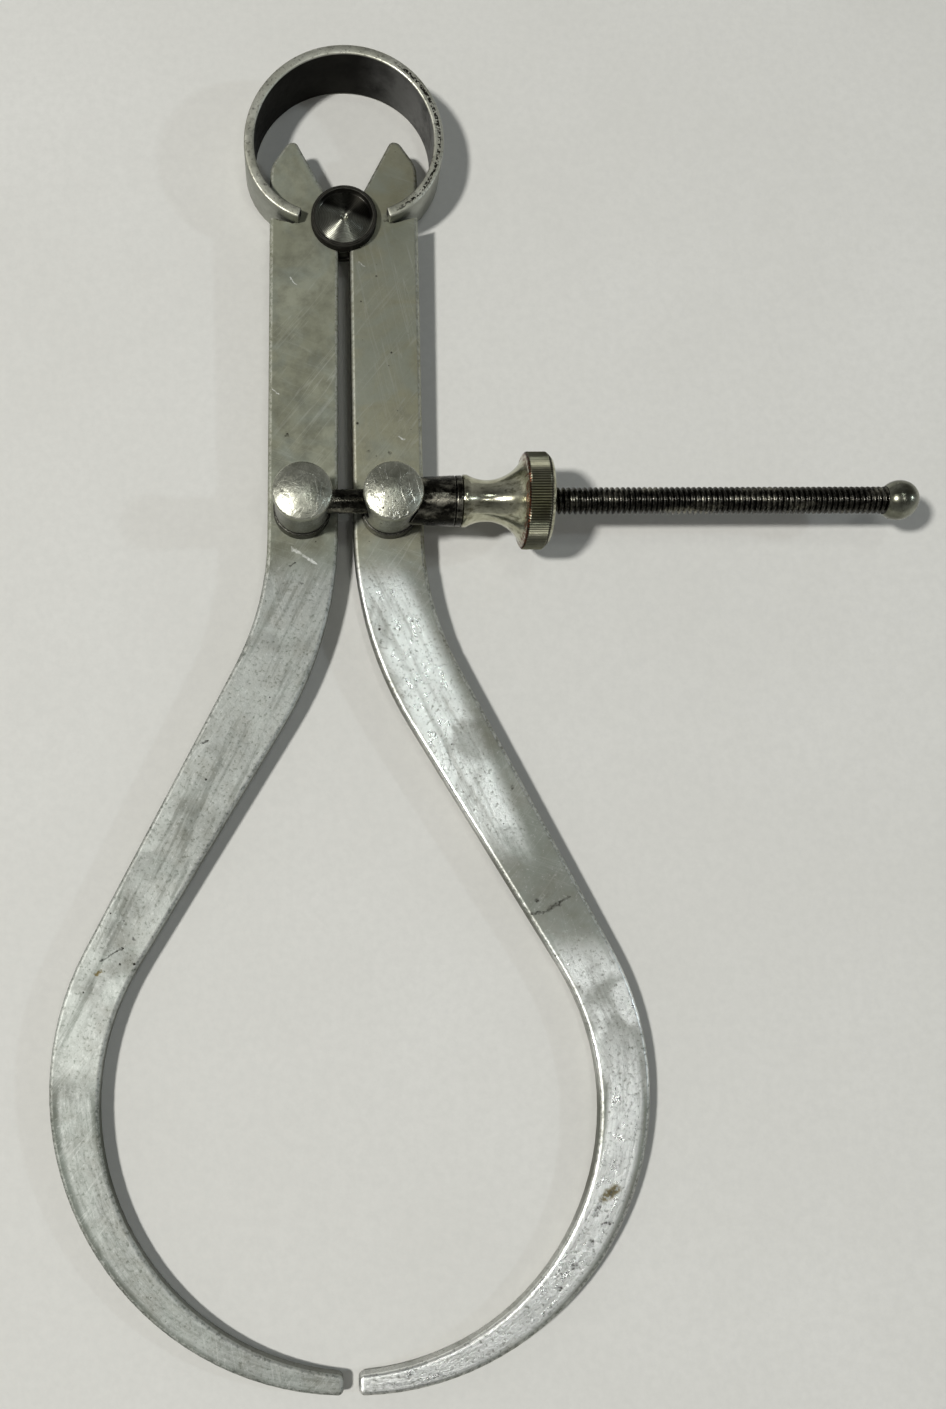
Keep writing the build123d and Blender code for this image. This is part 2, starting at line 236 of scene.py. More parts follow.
def make_spring():
    deselect()
    bpy.ops.mesh.primitive_plane_add(
        size=1, location=(0, ring_y + ring_radius, leg_middle), rotation=(0, math.pi / 2, 0)
    )
    bpy.ops.transform.resize(value=(1, strip_thickness, strip_end_width))
    piece = name_piece("bow_spring_strip")
    edit(piece)
    bpy.ops.mesh.select_all(action="SELECT")
    bpy.ops.mesh.bevel(offset=strip_corner, segments=4, affect="VERTICES")
    bpy.ops.mesh.select_all(action="SELECT")
    bpy.ops.mesh.spin(steps=60, angle=ring_main_turn, center=(0, ring_y, leg_middle), axis=(0, 0, 1))
    bpy.ops.mesh.spin(steps=28, angle=ring_end_turn, center=tuple(end_centre), axis=(0, 0, 1))
    close_up(doubles)

    # The strip is wider at the top of the ring than at its ends
    deselect()
    bpy.ops.object.empty_add(location=(0, end_centre.y - ring_end_radius, leg_middle))
    foot = bpy.context.object
    widen = piece.modifiers.new("wider at the top", "SIMPLE_DEFORM")
    widen.deform_method = "TAPER"
    widen.deform_axis = "Y"
    widen.lock_x = True
    widen.factor = strip_width / strip_end_width - 1
    widen.origin = foot
    apply_modifiers(piece)
    bpy.data.objects.remove(foot)

    # The fork that straddles the leg, cut with a block laid along the end of the strip
    turn = ring_main_turn + ring_end_turn - fork_turn
    outwards = Vector((math.sin(turn), math.cos(turn), 0))
    onwards = Vector((math.cos(turn), -math.sin(turn), 0))
    place = end_centre + outwards * ring_end_radius + onwards * fork_reach / 2
    turn_about_z = math.atan2(onwards.y, onwards.x)
    deselect()
    bpy.ops.mesh.primitive_cube_add(size=1, location=place, rotation=(0, 0, turn_about_z))
    bpy.ops.transform.resize(
        value=(fork_reach, 2 * strip_thickness, fork_opening),
        orient_type="LOCAL",
        center_override=tuple(place),
    )
    cutter = name_piece("fork_cutter")
    select_only(piece)
    slot = piece.modifiers.new("fork", "BOOLEAN")
    slot.operation = "DIFFERENCE"
    slot.solver = "EXACT"
    slot.object = cutter
    apply_modifiers(piece)
    bpy.data.objects.remove(cutter)

    # The other half is the mirror image, joined at the top
    edit(piece)
    pick_faces(piece, lambda p: abs(p.x) < hair)
    bpy.ops.mesh.delete(type="FACE")
    bpy.ops.object.mode_set(mode="OBJECT")
    half = piece.modifiers.new("other half", "MIRROR")
    half.use_axis = (True, False, False)
    half.merge_threshold = hair
    edges = piece.modifiers.new("worn edges", "BEVEL")
    edges.width = strip_worn_edge
    edges.segments = 2
    edges.limit_method = "ANGLE"
    edges.angle_limit = math.radians(55)
    apply_modifiers(piece)
    edit(piece)
    close_up(doubles)
    smooth(piece, 40)
    return piece


spring = make_spring()

# A place on the strip bends with the share of the way round that it lies at: the two ends stay
# in the legs' notches, and the ring between them winds up evenly.
notch_place = Vector((9.0 * mm, 1.6 * mm, 0))
held_length = along_strip(notch_place)
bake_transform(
    spring, "left_leg", "right_leg",
    start=(-held_length, ring_y, leg_middle), end=(held_length, ring_y, leg_middle),
)
for vertex, weight in zip(spring.data.vertices, spring.data.attributes["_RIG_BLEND"].data):
    share = min(1.0, along_strip(vertex.co) / held_length)
    weight.value = 0.5 + math.copysign(share / 2, vertex.co.x)
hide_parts("bow_spring")


# ---- Adjusting screw: a plain end and 36 threads to the inch ----

thread_pitch = 25.4 / 36 * mm
thread_crest = 1.74 * mm
thread_root = 1.32 * mm
thread_sides = 20
thread_start = post_x + 2.4 * mm
thread_end = ball_start + 0.6 * mm
root_until = 0.12
flank_share = 0.7
plain_radius = 1.55 * mm
plain_chamfer = 0.3 * mm


def make_screw():
    # One turn of thread: a cam-shaped circle drawn out while it turns
    deselect()
    bpy.ops.mesh.primitive_circle_add(
        vertices=thread_sides,
        radius=thread_crest,
        fill_type="NOTHING",
        location=(thread_start, screw_y, screw_z),
        rotation=(0, math.pi / 2, 0),
    )
    piece = name_piece("adjusting_screw_threaded")
    centre = Vector((thread_start, screw_y, screw_z))
    edit(piece)
    mesh = bmesh.from_edit_mesh(piece.data)
    mesh.verts.ensure_lookup_table()
    angles = [math.atan2(v.co.z - screw_z, v.co.y - screw_y) for v in mesh.verts]
    for i, angle in enumerate(angles):
        height = abs((angle / (2 * math.pi)) % 1 - 0.5) * 2
        rise = min(1.0, max(0.0, (height - root_until) / flank_share))
        share = (thread_root + (thread_crest - thread_root) * rise) / thread_crest
        bpy.ops.mesh.select_all(action="DESELECT")
        mesh = bmesh.from_edit_mesh(piece.data)
        mesh.verts.ensure_lookup_table()
        mesh.verts[i].select_set(True)
        bmesh.update_edit_mesh(piece.data)
        bpy.ops.transform.resize(value=(1, share, share), center_override=tuple(centre))
    bpy.ops.mesh.select_all(action="SELECT")
    for _ in range(thread_sides):
        bpy.ops.mesh.extrude_edges_move(
            TRANSFORM_OT_translate={"value": (thread_pitch / thread_sides, 0, 0)}
        )
        bpy.ops.transform.rotate(
            value=-2 * math.pi / thread_sides,
            orient_axis="X",
            orient_type="GLOBAL",
            center_override=tuple(centre),
        )
    bpy.ops.object.mode_set(mode="OBJECT")
    rows = piece.modifiers.new("turns", "ARRAY")
    rows.count = int((thread_end - thread_start) / thread_pitch)
    rows.use_relative_offset = False
    rows.use_constant_offset = True
    rows.constant_offset_displace = (thread_pitch, 0, 0)
    rows.use_merge_vertices = True
    rows.merge_threshold = hair
    apply_modifiers(piece)
    edit(piece)
    bpy.ops.mesh.select_all(action="DESELECT")
    bpy.ops.mesh.select_mode(type="EDGE")
    bpy.ops.mesh.select_non_manifold(extend=False)
    bpy.ops.mesh.edge_face_add()
    close_up(doubles)

    # The plain end that sits in the left post, with its chamfer
    start = screw_low.x
    rod = turned(
        "plain_end",
        [
            (start, plain_radius - plain_chamfer),
            (start + plain_chamfer, plain_radius),
            (thread_start - 0.2 * mm, plain_radius),
            (thread_start + 0.1 * mm, plain_radius - 0.15 * mm),
            (thread_start + 0.3 * mm, 1.2 * mm),
        ],
        sides=40,
    )
    select_only(piece)
    rod.select_set(True)
    bpy.ops.object.join()
    smooth(piece, 35)
    return piece


screw = make_screw()
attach(screw, "left_post")
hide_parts("adjusting_screw")


# ---- Adjusting nut: turned, with a straight knurl round its flange ----

nut_teeth = 110
nut_bore = 1.8025 * mm
nut_rim = 6.2 * mm
nut_flange = nut_high.x - 3.5 * mm
knurl_depth = 0.17 * mm


def make_nut():
    x = nut_low.x
    end = nut_high.x
    neck = arc_stations(
        (x + 0.6 * mm, 3.35 * mm), (x + 3.1 * mm, 2.65 * mm), (nut_flange - 0.3 * mm, 4.9 * mm), 18
    )
    stations = [
        (x, nut_bore),
        (x, 3.2 * mm),
        (x + 0.05 * mm, 3.3 * mm),
        (x + 0.15 * mm, 3.35 * mm),
        *neck,
        (nut_flange - 0.14 * mm, 5.2 * mm),
        (nut_flange - 0.03 * mm, 5.38 * mm),
        (nut_flange, 5.5 * mm),
        (nut_flange, 5.75 * mm),
        (nut_flange + 0.10 * mm, 5.95 * mm),
        (nut_flange + 0.35 * mm, nut_rim),
        (nut_flange + 1.3 * mm, nut_rim),
        (end - 0.75 * mm, nut_rim),
        (end - 0.2 * mm, 5.7 * mm),
        (end, 5.45 * mm),
        (end, 3.4 * mm),
        (end, 2.1 * mm),
        (end - 0.25 * mm, nut_bore),
        (x, nut_bore),
    ]
    piece = turned("adjusting_nut_knurled", stations, 2 * nut_teeth)

    # Every second row of points round the rim is pressed in to leave the teeth
    edit(piece)

    def in_groove(p):
        radius = math.hypot(p.y - screw_y, p.z - screw_z)
        row = math.atan2(p.z - screw_z, p.y - screw_y) / (2 * math.pi) * 2 * nut_teeth
        return radius > nut_rim - hair and round(row) % 2 == 1

    pick_points(piece, in_groove)
    share = 1 - knurl_depth / nut_rim
    bpy.ops.transform.resize(value=(1, share, share), center_override=(x, screw_y, screw_z))
    close_up()
    smooth(piece, 28)
    return piece


nut = make_nut()
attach(nut, "nut")
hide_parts("adjusting_nut")


# ---- Node helpers for the materials: a value is a socket, or a plain number, vector or colour ----

def node(tree, kind, **settings):
    made = tree.nodes.new(kind)
    for key, value in settings.items():
        setattr(made, key, value)
    return made


def feed(tree, value, socket):
    """Links a socket to another one, or sets it to a plain value."""
    if isinstance(value, bpy.types.NodeSocket):
        tree.links.new(value, socket)
    elif socket.type == "RGBA":
        socket.default_value = (*value, 1)
    else:
        socket.default_value = value


def number(tree, operation, *values, clamp=False):
    """A Math node."""
    made = node(tree, "ShaderNodeMath", operation=operation, use_clamp=clamp)
    for index, value in enumerate(values):
        feed(tree, value, made.inputs[index])
    return made.outputs[0]


def chain(tree, operation, first, *others):
    """The same Math operation over all the values, from the first one on."""
    for value in others:
        first = number(tree, operation, first, value)
    return first


def times(tree, *values):
    return chain(tree, "MULTIPLY", *values)


def plus(tree, *values):
    return chain(tree, "ADD", *values)


def minus(tree, *values):
    return chain(tree, "SUBTRACT", *values)


def most(tree, *values):
    return chain(tree, "MAXIMUM", *values)


def distance(tree, aside, up):
    return number(tree, "SQRT", plus(tree, times(tree, aside, aside), times(tree, up, up)))


def split(tree, vector):
    """The X, Y and Z of a vector."""
    made = node(tree, "ShaderNodeSeparateXYZ")
    feed(tree, vector, made.inputs[0])
    return tuple(made.outputs)


def spread(tree, value, low, high, to_low=0.0, to_high=1.0, kind="LINEAR"):
    """Maps a value's range to another one, clamped."""
    made = node(tree, "ShaderNodeMapRange", interpolation_type=kind)
    for index, setting in enumerate((value, low, high, to_low, to_high)):
        feed(tree, setting, made.inputs[index])
    return made.outputs[0]


def window(tree, value, low, high, soft):
    """1 between two limits, falling to 0 over the soft width outside them."""
    rise = spread(tree, value, low - soft, low, 0.0, 1.0, "SMOOTHSTEP")
    fall = spread(tree, value, high, high + soft, 1.0, 0.0, "SMOOTHSTEP")
    return times(tree, rise, fall)


def blend_colours(tree, mask, first, second):
    """A colour mix from first to second with the mask."""
    made = node(tree, "ShaderNodeMix", data_type="RGBA")
    for index, value in ((0, mask), (6, first), (7, second)):
        feed(tree, value, made.inputs[index])
    return made.outputs[2]


def two_tone(tree, pattern, low, high, first, second):
    """Two colours that a pattern's values between two limits blend."""
    return blend_colours(tree, spread(tree, pattern, low, high), first, second)


def coat(tree, base, *coats):
    """The base colour under coats that lie over each other, each a mask and a colour."""
    for mask, colour in coats:
        base = blend_colours(tree, mask, base, colour)
    return base


def noise(tree, vector, scale, detail=3.0, roughness=0.5, distortion=0.0):
    made = node(tree, "ShaderNodeTexNoise")
    settings = {
        "Vector": vector, "Scale": scale, "Detail": detail, "Roughness": roughness,
        "Distortion": distortion,
    }
    for key, value in settings.items():
        feed(tree, value, made.inputs[key])
    return made.outputs["Fac"]


def stretched(tree, vector, angle, scale):
    """The vector for a pattern that is stretched, then turned about Z by the angle in degrees."""
    made = node(tree, "ShaderNodeMapping", vector_type="TEXTURE")
    feed(tree, vector, made.inputs["Vector"])
    feed(tree, (0, 0, math.radians(angle)), made.inputs["Rotation"])
    feed(tree, tuple(1 / share for share in scale), made.inputs["Scale"])
    return made.outputs[0]


def new_group(name, inputs, outputs):
    """A shader node group with a Vector input. Its other inputs and its outputs are numbers, or
    vectors where the value is a tuple."""
    tree = bpy.data.node_groups.new(name, "ShaderNodeTree")
    for side, sockets in (("INPUT", {"Vector": (0, 0, 0), **inputs}), ("OUTPUT", outputs)):
        for label, value in sockets.items():
            kind = "NodeSocketVector" if isinstance(value, tuple) else "NodeSocketFloat"
            socket = tree.interface.new_socket(label, in_out=side, socket_type=kind)
            socket.default_value = value
    return tree, node(tree, "NodeGroupInput").outputs, node(tree, "NodeGroupOutput").inputs


def use_group(tree, group, vector, **values):
    """Places a group with its own values. An underscore in a name stands for a space."""
    made = node(tree, "ShaderNodeGroup")
    made.node_tree = group
    feed(tree, vector, made.inputs["Vector"])
    for key, value in values.items():
        feed(tree, value, made.inputs[key.replace("_", " ")])
    return made.outputs


# Fine scratches: three families of long thin lines that come and go
scratches_group, into, out = new_group("fine_scratches", {"Scale": 100.0, "Amount": 0.5}, {"Lines": 0.0})
tree = scratches_group
total = None
for angle, share, shift in ((12, 1.0, 0.0), (-38, 0.8, 3.1), (71, 0.6, 7.7)):
    moved = node(tree, "ShaderNodeVectorMath", operation="ADD")
    feed(tree, stretched(tree, into["Vector"], angle, (1.0, 0.045, 1.0)), moved.inputs[0])
    feed(tree, (shift, shift, 0), moved.inputs[1])
    fine = noise(tree, moved.outputs[0], into["Scale"], 2.0, 0.6)
    line = spread(tree, number(tree, "ABSOLUTE", minus(tree, fine, 0.5)), 0.0, 0.012, 1.0, 0.0)
    beside = stretched(tree, into["Vector"], angle + 20, (1, 0.5, 1))
    patch = noise(tree, beside, times(tree, into["Scale"], 0.09), 1.0)
    patch = spread(tree, patch, minus(tree, 0.85, times(tree, into["Amount"], 0.5)), 0.95)
    line = times(tree, line, patch, share)
    total = line if total is None else most(tree, total, line)
feed(tree, total, out["Lines"])

# Corrosion pits: small dark spots scattered in loose clusters
pits_group, into, out = new_group("corrosion_pits", {"Scale": 600.0, "Amount": 0.3}, {"Pits": 0.0})
tree = pits_group
cells = node(tree, "ShaderNodeTexVoronoi")
feed(tree, into["Vector"], cells.inputs["Vector"])
feed(tree, into["Scale"], cells.inputs["Scale"])
chance = node(tree, "ShaderNodeSeparateColor")
feed(tree, cells.outputs["Color"], chance.inputs[0])
cluster = noise(tree, into["Vector"], times(tree, into["Scale"], 0.06), 2.0)
size = times(tree, chance.outputs[0], 0.34, spread(tree, cluster, 0.42, 0.68))
allowed = number(tree, "LESS_THAN", chance.outputs[1], into["Amount"])
inner, outer = times(tree, size, 0.5), plus(tree, size, 0.02)
spot = spread(tree, cells.outputs["Distance"], inner, outer, 1.0, 0.0)
feed(tree, times(tree, spot, allowed), out["Pits"])

# A single mark at a place of its own: a short stroke, or a spot when its length is nought
mark_group, into, out = new_group(
    "placed_mark",
    {"Place": (0, 0, 0), "Turn": 0.0, "Half Length": 1.0 * mm, "Half Width": 0.2 * mm},
    {"Mark": 0.0},
)
tree = mark_group
turn = node(tree, "ShaderNodeCombineXYZ")
feed(tree, into["Turn"], turn.inputs["Z"])
local = node(tree, "ShaderNodeMapping", vector_type="TEXTURE")
feed(tree, into["Vector"], local.inputs["Vector"])
feed(tree, into["Place"], local.inputs["Location"])
feed(tree, turn.outputs[0], local.inputs["Rotation"])
x, y = split(tree, local.outputs[0])[:2]
past_end = most(tree, minus(tree, number(tree, "ABSOLUTE", x), into["Half Length"]), 0.0)
inside = times(tree, into["Half Width"], 0.45)
stroke = spread(tree, distance(tree, past_end, y), inside, into["Half Width"], 1.0, 0.0)
feed(tree, stroke, out["Mark"])

# Worn edges: where the surface turns within a small radius, broken up by grain
edges_group, into, out = new_group(
    "worn_edges", {"Radius": 0.4 * mm, "Grain": 900.0}, {"Edge": 0.0, "Rounded": (0, 0, 0)}
)
tree = edges_group
rounding = node(tree, "ShaderNodeBevel", samples=6)
feed(tree, into["Radius"], rounding.inputs["Radius"])
closeness = node(tree, "ShaderNodeVectorMath", operation="DOT_PRODUCT")
feed(tree, rounding.outputs[0], closeness.inputs[0])
feed(tree, node(tree, "ShaderNodeNewGeometry").outputs["Normal"], closeness.inputs[1])
edge = spread(tree, closeness.outputs["Value"], 0.995, 0.80)
grain = noise(tree, into["Vector"], into["Grain"], 3.0, 0.6)
feed(tree, times(tree, edge, spread(tree, grain, 0.35, 0.6)), out["Edge"])
feed(tree, rounding.outputs[0], out["Rounded"])


def new_material(name, metallic=1.0):
    material = bpy.data.materials.new(name)
    material.use_nodes = True
    tree = material.node_tree
    shader = tree.nodes["Principled BSDF"]
    shader.inputs["Metallic"].default_value = metallic
    place = node(tree, "ShaderNodeTexCoord").outputs["Object"]
    return material, tree, shader, place


def add_bump(tree, shader, height, strength, depth, normal=None):
    made = node(tree, "ShaderNodeBump")
    made.inputs["Strength"].default_value = strength
    made.inputs["Distance"].default_value = depth
    feed(tree, height, made.inputs["Height"])
    if normal is not None:
        feed(tree, normal, made.inputs["Normal"])
    feed(tree, made.outputs[0], shader.inputs["Normal"])


def turn_marks(tree, shader, axis, amount):
    """Draws the highlights out across the fine grooves that turning round the axis leaves."""
    grooves = node(tree, "ShaderNodeTangent", direction_type="RADIAL", axis=axis)
    feed(tree, grooves.outputs[0], shader.inputs["Tangent"])
    shader.inputs["Anisotropic"].default_value = amount
    shader.inputs["Anisotropic Rotation"].default_value = 0.25


def dress(piece, material):
    """Gives a new piece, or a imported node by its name, the material in every slot."""
    if isinstance(piece, str):
        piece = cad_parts[piece]
    if not piece.data.materials:
        piece.data.materials.append(material)
    for index in range(len(piece.data.materials)):
        piece.data.materials[index] = material


# ---- Leg steel: ground plate, dull along the shank, scuffed bright further down ----

# A near-black for dark stains, and for painted shade in the slit and painted shadow at the spring's notches
grime_and_shade = (0.03, 0.027, 0.02)
bow_centre_y = -116.2 * mm
bow_inner_edge = 33.0 * mm
bow_outer_edge = 36.4 * mm

# A turn of one radian round the bow in the streaks' pattern: the shorter, the longer the streaks
streak_radian = 4.5 * mm


def leaning(tree, low, high, soft):
    """1 where the surface is turned from the flat front or back by a share between the limits."""
    normal = split(tree, node(tree, "ShaderNodeNewGeometry").outputs["Normal"])
    return window(tree, minus(tree, 1.0, number(tree, "ABSOLUTE", normal[2])), low, high, soft)


def place_marks(tree, vector, marks):
    """The union of single marks, each (x, y, degrees, half length, half width) in millimetres."""
    return most(tree, *(
        use_group(
            tree, mark_group, vector, Place=(x * mm, y * mm, 0), Turn=math.radians(degrees),
            Half_Length=half_length * mm, Half_Width=half_width * mm,
        )["Mark"]
        for x, y, degrees, half_length, half_width in marks
    ))


def scuff_bow(tree, across, along, side):
    """Scuffed streaks that follow the outer half of the bow down to the tip."""
    down = minus(tree, along, bow_centre_y)
    from_centre = distance(tree, across, down)
    outer_half = times(
        tree,
        window(tree, from_centre, bow_inner_edge, bow_outer_edge, 0.9 * mm),
        spread(tree, along, -101 * mm, -119 * mm, 0.0, 1.0, "SMOOTHSTEP"),
    )
    round_bow = node(tree, "ShaderNodeCombineXYZ")
    feed(tree, from_centre, round_bow.inputs[0])
    turn = number(tree, "ARCTAN2", across, down)
    feed(tree, times(tree, turn, streak_radian), round_bow.inputs[1])
    streaks = spread(tree, noise(tree, round_bow.outputs[0], 1500.0, 6.0, 0.8), 0.38, 0.54, 0.55, 1.0)
    return times(tree, outer_half, streaks, 0.62 + 0.38 * side)


def scuff_patch(tree, across, along, patch):
    """A scuffed patch (low y, high y, low x, high x, share, degrees): its x limits are turned."""
    low_y, high_y, low_x, high_x, share, degrees = patch
    angle = math.radians(degrees)
    aside = plus(tree, times(tree, across, math.cos(angle)), times(tree, along, math.sin(angle)))
    return times(
        tree,
        window(tree, along, low_y * mm, high_y * mm, 6 * mm),
        share,
        window(tree, aside, low_x * mm, high_x * mm, 2.4 * mm),
    )


def make_leg_steel(name, side, haze, shank, lower_leg, patches, dark_marks, bright_marks, rust_mark):
    """The side is 1 for the right leg and -1 for the left one, and haze is the middle roughness.
    Shank and lower leg each have a dull and a clean colour."""
    material, tree, shader, place = new_material(name)
    across, along, height_up = split(tree, place)
    cloudy = noise(tree, place, 85.0, 5.0, 0.62, 0.4)
    mottled = noise(tree, place, 420.0, 4.0, 0.65)
    speckle = noise(tree, place, 2300.0, 3.0, 0.65)
    tarnish = noise(tree, place, 150.0, 3.0, 0.6, 0.8)
    streaks = noise(tree, stretched(tree, place, side * 26, (1.0, 0.07, 1.0)), 1000.0, 3.0, 0.6)
    scratches = use_group(tree, scratches_group, place, Scale=620.0, Amount=0.9)["Lines"]
    coarse = use_group(tree, scratches_group, place, Scale=260.0, Amount=0.45)["Lines"]
    fine = use_group(tree, scratches_group, place, Scale=900.0, Amount=0.7)["Lines"]
    pits = use_group(tree, pits_group, place, Scale=1100.0, Amount=0.16)["Pits"]
    lower = spread(tree, along, -43 * mm, -52 * mm, 0.0, 1.0, "SMOOTHSTEP")

    # Scuffed bright: the outer half of the bow, and patches along the leg
    scuffed = scuff_bow(tree, across, along, side)
    clouds = spread(tree, cloudy, 0.37, 0.48, 0.55 - 0.2 * side, 1.0)
    strokes = spread(tree, streaks, 0.36, 0.50, 0.55, 1.0)
    for patch in patches:
        patch = times(tree, scuff_patch(tree, across, along, patch), clouds, strokes)
        scuffed = most(tree, scuffed, patch)

    worn = spread(tree, cloudy, 0.3, 0.7)
    base = blend_colours(
        tree, lower, blend_colours(tree, worn, *shank), blend_colours(tree, worn, *lower_leg)
    )
    flecks = times(tree, spread(tree, speckle, 0.61, 0.68), lower, 0.16)
    rubbed = times(tree, leaning(tree, 0.03, 0.5, 0.03), spread(tree, speckle, 0.40, 0.56))
    # Painted shade: the leg's side walls are painted darker than its faces
    walls = leaning(tree, 0.8, 2.0, 0.1)
    base = coat(
        tree, base,
        (spread(tree, mottled, 0.42, 0.68, 0.0, 0.5), (0.19, 0.19, 0.145)),
        (spread(tree, tarnish, 0.45, 0.62, 0.0, 0.4), (0.30, 0.335, 0.30)),
        (times(tree, scuffed, spread(tree, speckle, 0.27, 0.45)), (0.96, 0.98, 0.95)),
        (flecks, (0.90, 0.91, 0.88)),
        (times(tree, scratches, 0.4), (0.80, 0.81, 0.77)),
        (times(tree, coarse, spread(tree, lower, 0.0, 1.0, 0.18, 0.35)), (0.85, 0.86, 0.82)),
        (times(tree, rubbed, spread(tree, lower, 0.0, 1.0, 0.25, 0.35 + 0.1 * side)), (0.92, 0.92, 0.86)),
        (times(tree, fine, spread(tree, scuffed, 0.0, 1.0, 0.25, 0.6)), (0.10, 0.10, 0.085)),
        (times(tree, walls, 0.55), (0.09, 0.088, 0.072)),
        (pits, (0.045, 0.04, 0.032)),
    )

    # Painted shade on the walls of the slit between the shanks, darkened where little light gets in
    near_slit = spread(tree, number(tree, "ABSOLUTE", across), 2.2 * mm, 1.9 * mm)
    near_slit = times(tree, near_slit, minus(tree, 1.0, lower))
    base = coat(tree, base, (times(tree, near_slit, leaning(tree, 0.75, 2.0, 0.1)), grime_and_shade))

    # The single marks of this leg's face, their outlines broken up. The dark marks are stains, but the first
    # one of each leg, beside the spring's notch, is painted shadow.
    grain = node(tree, "ShaderNodeTexNoise")
    feed(tree, place, grain.inputs["Vector"])
    feed(tree, 1500.0, grain.inputs["Scale"])
    shifted = node(tree, "ShaderNodeVectorMath", operation="MULTIPLY_ADD")
    for index, value in enumerate((grain.outputs["Color"], (0.9 * mm, 0.9 * mm, 0), place)):
        feed(tree, value, shifted.inputs[index])
    front = number(tree, "GREATER_THAN", height_up, leg_middle)
    bright, dark, rust = (
        times(tree, place_marks(tree, shifted.outputs[0], marks), front)
        for marks in (bright_marks, dark_marks, [rust_mark])
    )
    bright = times(tree, bright, spread(tree, speckle, 0.38, 0.6, 0.2, 0.6))
    rust = times(tree, rust, spread(tree, speckle, 0.36, 0.46))
    dark = most(tree, dark, times(tree, rust, 0.3))
    dark = times(tree, dark, spread(tree, speckle, 0.35, 0.55, 0.9, 0.3))
    base = coat(
        tree, base,
        (bright, (0.95, 0.96, 0.93)), (times(tree, rust, 0.9), (0.20, 0.155, 0.055)), (dark, grime_and_shade),
    )
    feed(tree, base, shader.inputs["Base Color"])

    rough = spread(tree, mottled, 0.3, 0.7, haze - 0.06, haze + 0.06)
    rough = minus(tree, rough, times(tree, scuffed, haze - 0.29))
    rough = number(tree, "ADD", rough, times(tree, most(tree, pits, dark), 0.3), clamp=True)
    feed(tree, rough, shader.inputs["Roughness"])
    lively = plus(tree, times(tree, scuffed, 1.5), plus(tree, times(tree, lower, 0.3), 0.15))
    height = plus(tree, times(tree, mottled, 0.4), times(tree, speckle, lively))
    height = minus(
        tree, height,
        most(tree, times(tree, pits, 0.35), dark),
        times(tree, plus(tree, coarse, fine), 0.5),
        times(tree, scratches, 0.25),
    )
    add_bump(tree, shader, height, 0.5, 0.06 * mm)
    return material


dress("left_leg", make_leg_steel(
    "left_leg_steel",
    side=-1,
    haze=0.74,
    shank=((0.27, 0.275, 0.205), (0.38, 0.39, 0.31)),
    # The left leg's lower part is painted darker than the right leg's: painted shade that tones down the key
    # lamp's reflection on the left bow
    lower_leg=((0.125, 0.135, 0.115), (0.22, 0.24, 0.21)),
    patches=[(-114, -52, -60, 4, 0.28, 0)],
    # The first dark mark is painted shadow beside the spring's end in its notch; the others are stains
    dark_marks=[
        (-7.4, 0.6, -12, 1.3, 0.3), (-29.8, -99.2, 30, 1.6, 0.14), (-27.0, -97.3, 0, 0, 0.25),
        (-5.4, -50.6, 0, 0, 0.3), (-6.6, -48.0, 35, 0.4, 0.15), (-7.4, -30.2, 0, 0, 0.3),
        (-18.1, -71.7, 20, 0.5, 0.2),
    ],
    bright_marks=[
        (-5.1, -46.9, -32, 1.9, 0.22), (-6.5, -8.2, -50, 0.7, 0.1), (-9.0, -24.0, -40, 0.6, 0.1),
    ],
    rust_mark=(-31.4, -101.5, 30, 0.4, 0.25),
))
dress("right_leg", make_leg_steel(
    "right_leg_steel",
    side=1,
    haze=0.54,
    shank=((0.28, 0.275, 0.19), (0.375, 0.37, 0.275)),
    lower_leg=((0.20, 0.205, 0.175), (0.34, 0.35, 0.31)),
    patches=[(-83, -53, -18.6, -13.8, 0.95, 23.3), (-113, -102, 20, 60, 0.9, 0)],
    # The first dark mark is painted shadow beside the spring's end in its notch; the others are stains
    dark_marks=[
        (7.4, 0.6, 12, 1.3, 0.3), (25.0, -94.0, 8, 1.0, 0.25), (26.9, -93.1, 30, 0.9, 0.36),
        (28.3, -92.2, 42, 0.5, 0.22), (24.7, -92.4, 0, 0, 0.42), (33.1, -128.8, 10, 0.2, 0.5),
        (31.3, -130.7, 70, 0.7, 0.4), (32.1, -132.6, 20, 0.4, 0.3), (30.4, -134.9, 60, 0.2, 0.5),
        (28.2, -137.7, 30, 0.3, 0.35), (26.3, -140.4, 40, 0.1, 0.45), (3.6, -32.4, 0, 0, 0.3),
        (6.5, -32.7, 0, 0, 0.3), (21.8, -77.8, 0, 0, 0.35),
    ],
    bright_marks=[
        (2.9, -6.0, -45, 0.6, 0.1), (8.0, -30.6, -25, 0.4, 0.12), (8.3, -53.2, -54, 2.4, 0.12),
    ],
    rust_mark=(32.8, -128.9, 40, 0.9, 0.8),
))


# ---- Spring steel: black oxide inside, dull outside, the rims ground and worn bright ----

ring_end_top = 8 * mm


